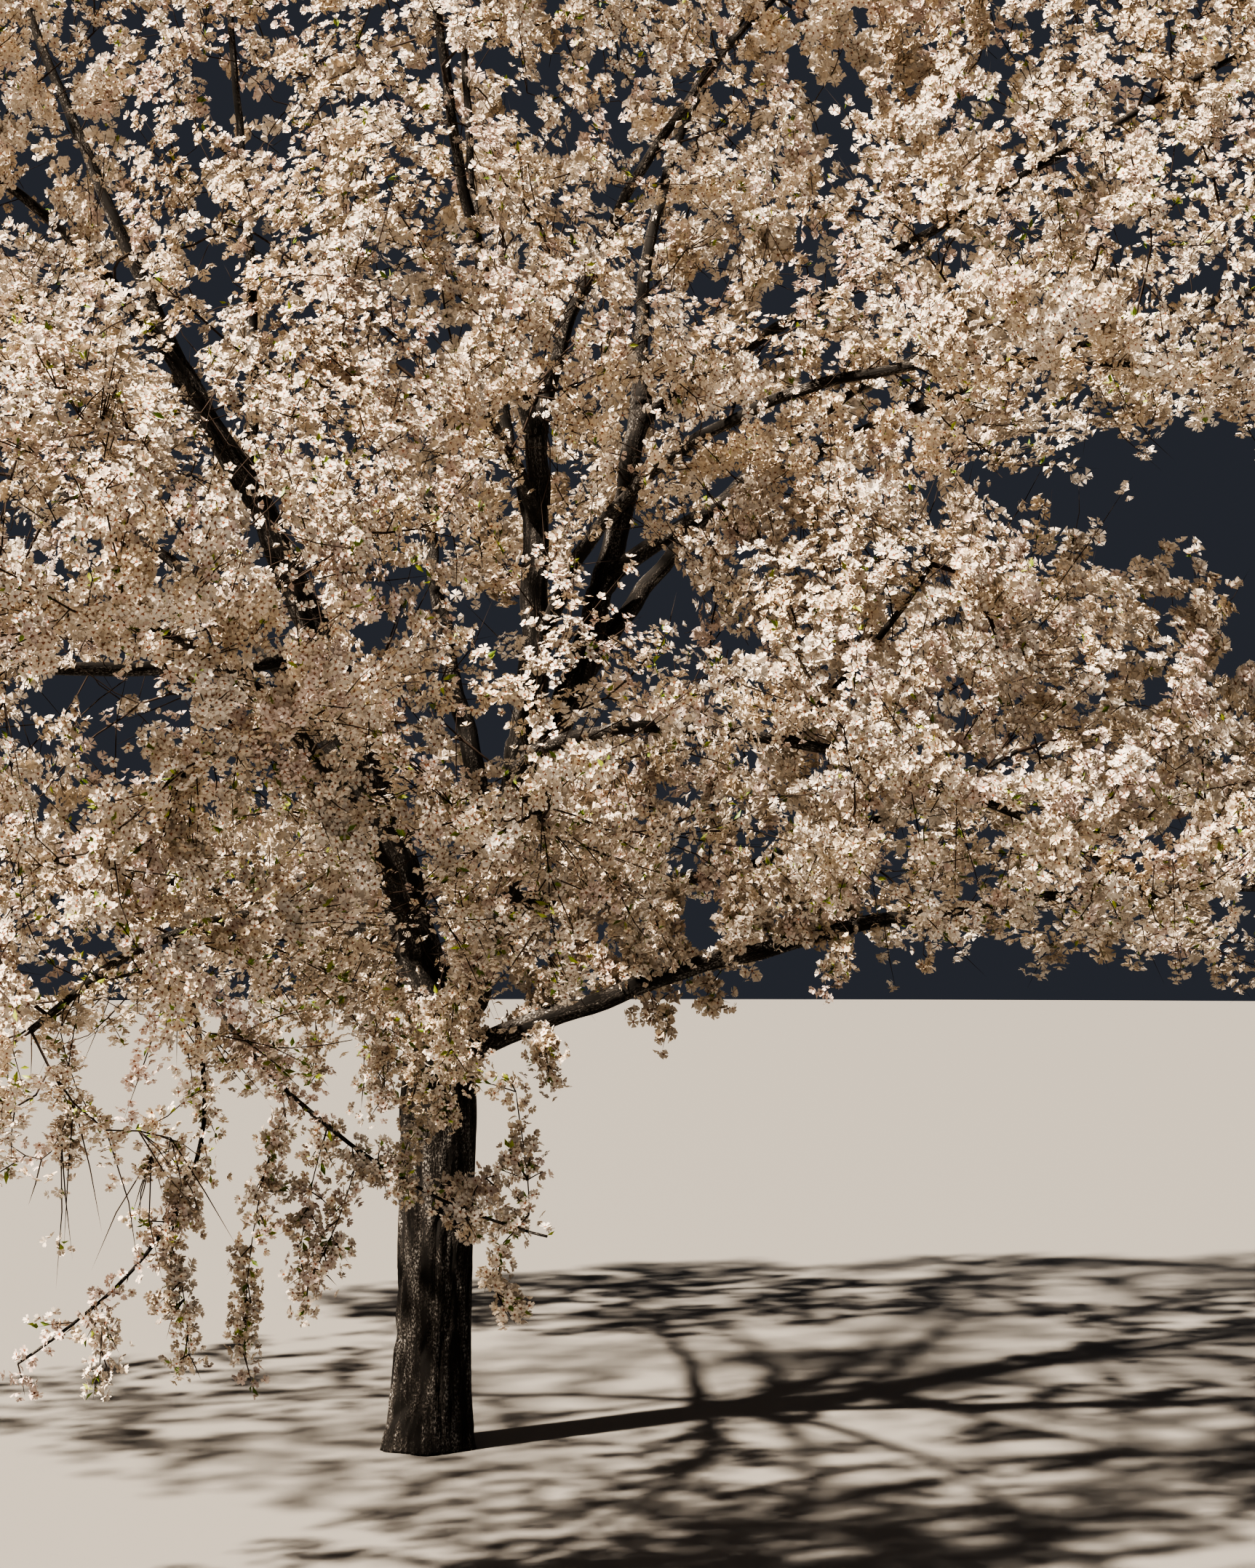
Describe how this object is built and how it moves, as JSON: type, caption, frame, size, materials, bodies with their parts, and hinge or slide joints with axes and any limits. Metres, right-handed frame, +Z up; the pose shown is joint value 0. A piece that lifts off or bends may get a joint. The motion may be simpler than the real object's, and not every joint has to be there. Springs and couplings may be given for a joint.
{
  "type": "white cherry blossom tree",
  "caption": "Low-forked spreading tree in full white blossom: short dark trunk, open boughs, layered blossom masses and hanging front sprays, rooted in level ground.",
  "frame": {"origin": "centre of the flat cut under the trunk, at ground level", "axes": "+Z up, +X to the right and +Y away from the viewer of the picture"},
  "size_m": [6.5084, 6.3168, 6.1132],
  "materials": {
    "bark": "rough dark bark with pale fissures",
    "blossom": "soft matt cream-white petals"
  },
  "bodies": {
    "root": {"bough_back": "bark", "bough_back_high": "bark", "bough_back_left": "bark", "bough_back_low": "bark", "bough_back_right": "bark", "bough_centre": "bark", "bough_centre_right": "bark", "bough_front": "bark", "bough_front_high": "bark", "bough_front_left": "bark", "bough_front_left_low": "bark", "bough_front_right": "bark", "bough_left": "bark", "bough_left_high": "bark", "bough_left_inner": "bark", "bough_left_low": "bark", "bough_left_middle": "bark", "bough_low_back_right": "bark", "bough_low_right": "bark", "bough_right": "bark", "bough_right_back": "bark", "bough_right_front": "bark", "bough_right_high": "bark", "bough_right_middle": "bark", "mass_back": "blossom", "mass_back_left": "blossom", "mass_back_lower": "blossom", "mass_back_right": "blossom", "mass_front": "blossom", "mass_front_upper": "blossom", "mass_hanging_front": "blossom", "mass_hanging_left": "blossom", "mass_left": "blossom", "mass_left_front": "blossom", "mass_left_front_lower": "blossom", "mass_left_front_upper": "blossom", "mass_left_inner_lower": "blossom", "mass_left_lower": "blossom", "mass_left_upper": "blossom", "mass_right": "blossom", "mass_right_back_lower": "blossom", "mass_right_cluster": "blossom", "mass_right_front": "blossom", "mass_right_front_inner": "blossom", "mass_right_front_lower": "blossom", "mass_right_lower": "blossom", "mass_right_upper": "blossom", "mass_top_back": "blossom", "mass_top_centre": "blossom", "mass_top_left": "blossom", "mass_top_left_inner": "blossom", "mass_top_right": "blossom", "mass_upper_centre": "blossom", "mass_upper_left": "blossom", "spray_front": "bark", "spray_left": "bark", "stem_centre": "bark", "stem_left": "bark", "stem_right": "bark", "trunk": "bark"}
  },
  "joints": []
}
